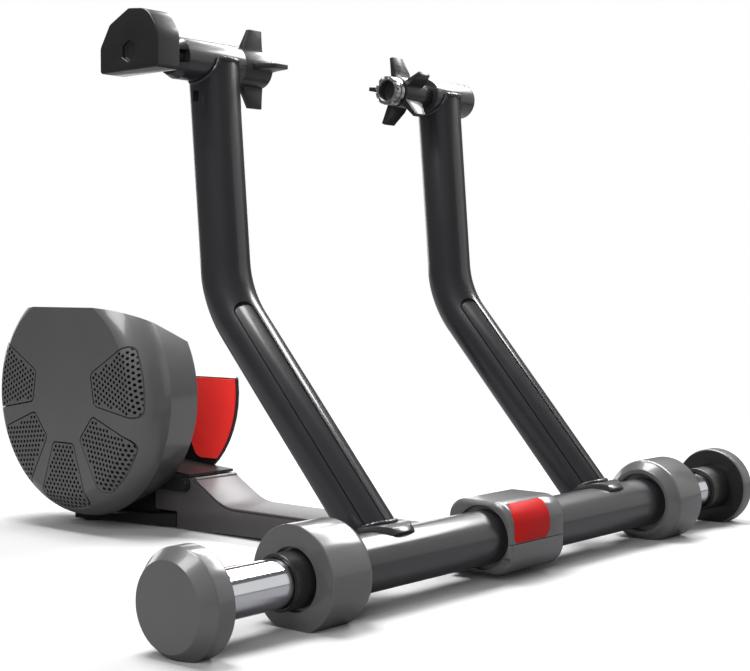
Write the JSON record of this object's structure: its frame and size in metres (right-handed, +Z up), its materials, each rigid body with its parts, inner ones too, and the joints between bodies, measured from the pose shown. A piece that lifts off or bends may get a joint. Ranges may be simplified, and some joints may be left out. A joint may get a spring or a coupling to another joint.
{
  "type": "folding bike trainer",
  "caption": "Bicycle trainer frame with axle clamps on bent uprights, telescopic round feet and a rear arm that carries a tilting drum-shaped resistance unit with its roller.",
  "frame": {"origin": "bottom centre of the bounding box, on the floor", "axes": "+X along the base tube to the right, +Y back towards the resistance unit, +Z up"},
  "size_m": [0.684, 0.5504, 0.4135],
  "materials": {
    "frame_paint": "satin anthracite",
    "grey_plastic": "satin mid grey",
    "dark_plastic": "fine grain, near black",
    "guide_plastic": "natural white",
    "housing_plastic": "fine grain, dark grey",
    "vent_plastic": "fine grain, dark grey",
    "arm_paint": "satin warm grey",
    "red_plastic": "satin red",
    "chrome": "polished",
    "steel": "turned",
    "dark_steel": "satin black",
    "rubber": "matt black",
    "board": "green circuit board"
  },
  "bodies": {
    "frame": {"base_tube": "frame_paint", "lock_sleeve_left": "dark_plastic", "guide_ring_right": "dark_plastic", "clamp_tube_left": "frame_paint", "clamp_tube_right": "frame_paint", "end_collar_left": "grey_plastic", "guide_bush_left": "guide_plastic", "upright_left": "frame_paint", "saddle_left": "frame_paint", "end_collar_right": "grey_plastic", "guide_bush_right": "guide_plastic", "upright_right": "frame_paint", "saddle_right": "frame_paint"},
    "extension_left": {"chrome_tube_left": "chrome", "foot_left": "grey_plastic", "tube_guide_left": "guide_plastic"},
    "extension_right": {"chrome_tube_right": "chrome", "foot_right": "grey_plastic", "tube_guide_right": "guide_plastic", "foot_neck_right": "dark_plastic"},
    "rod_left": {"push_rod_left": "chrome", "cup_left": "steel"},
    "lever_left": {"lock_lever_left": "dark_plastic"},
    "star_left": {"star_knob_left": "dark_plastic"},
    "spindle_right": {"spindle_right": "steel", "cup_right": "steel"},
    "star_right": {"star_knob_right": "dark_plastic"},
    "arm": {"hinge_shell_upper": "grey_plastic", "hinge_shell_lower": "grey_plastic", "front_inlay": "red_plastic", "arm_channel": "arm_paint", "arm_cover": "arm_paint", "rear_foot": "dark_plastic", "rear_pad_left": "rubber", "rear_pad_right": "rubber", "pivot_pin": "dark_steel"},
    "unit": {"drum_shell": "housing_plastic", "drum_cover": "dark_plastic", "unit_bracket": "dark_steel", "vent_insert_1": "vent_plastic", "vent_insert_2": "vent_plastic", "vent_insert_3": "vent_plastic", "vent_insert_4": "vent_plastic", "vent_insert_5": "vent_plastic", "side_panel": "red_plastic", "right_cover": "housing_plastic", "brake_ring": "steel", "control_board": "board", "bearing_left": "steel", "bearing_right": "steel", "torsion_spring": "steel"},
    "roller_train": {"roller_shaft": "steel", "roller": "steel", "flywheel": "steel", "cooling_fan": "dark_plastic"}
  },
  "joints": [
    {"name": "extension_left_slide", "type": "slide", "parent": "frame", "child": "extension_left", "axis": [1, 0, 0], "range_m": [0, 0.066]},
    {"name": "extension_right_slide", "type": "slide", "parent": "frame", "child": "extension_right", "axis": [-1, 0, 0], "range_m": [0, 0.051]},
    {"name": "arm_fold", "type": "hinge", "parent": "frame", "child": "arm", "pos_m": [0, -0.24005, 0.032], "axis": [1, 0, 0], "range_deg": [0, 30]},
    {"name": "unit_tilt", "type": "hinge", "parent": "arm", "child": "unit", "pos_m": [0, 0.09095, 0.041], "axis": [1, 0, 0], "range_deg": [-4, 0], "stiffness_Nm_per_rad": 20, "springref_deg": 22.92},
    {"name": "roller_spin", "type": "hinge", "parent": "unit", "child": "roller_train", "pos_m": [0, 0.16725, 0.1197], "axis": [1, 0, 0], "continuous": true},
    {"name": "left_lever_turn", "type": "hinge", "parent": "rod_left", "child": "lever_left", "pos_m": [0, -0.06505, 0.3835], "axis": [1, 0, 0], "range_deg": [0, 90]},
    {"name": "left_rod_slide", "type": "slide", "parent": "frame", "child": "rod_left", "axis": [1, 0, 0], "range_m": [0, 0.016]},
    {"name": "left_star_turn", "type": "hinge", "parent": "frame", "child": "star_left", "pos_m": [0, -0.06505, 0.3835], "axis": [1, 0, 0], "range_deg": [0, 360]},
    {"name": "right_knob_turn", "type": "hinge", "parent": "frame", "child": "star_right", "pos_m": [0, -0.06505, 0.3835], "axis": [1, 0, 0], "range_deg": [0, 1440]},
    {"name": "right_cup_slide", "type": "slide", "parent": "frame", "child": "spindle_right", "axis": [-1, 0, 0], "range_m": [0, 0.012]}
  ],
  "couplings": [
    {"joint": "left_lever_turn", "follows": "left_rod_slide", "rad_per_m": 98.17},
    {"joint": "right_knob_turn", "follows": "right_cup_slide", "rad_per_m": 2094.3}
  ]
}
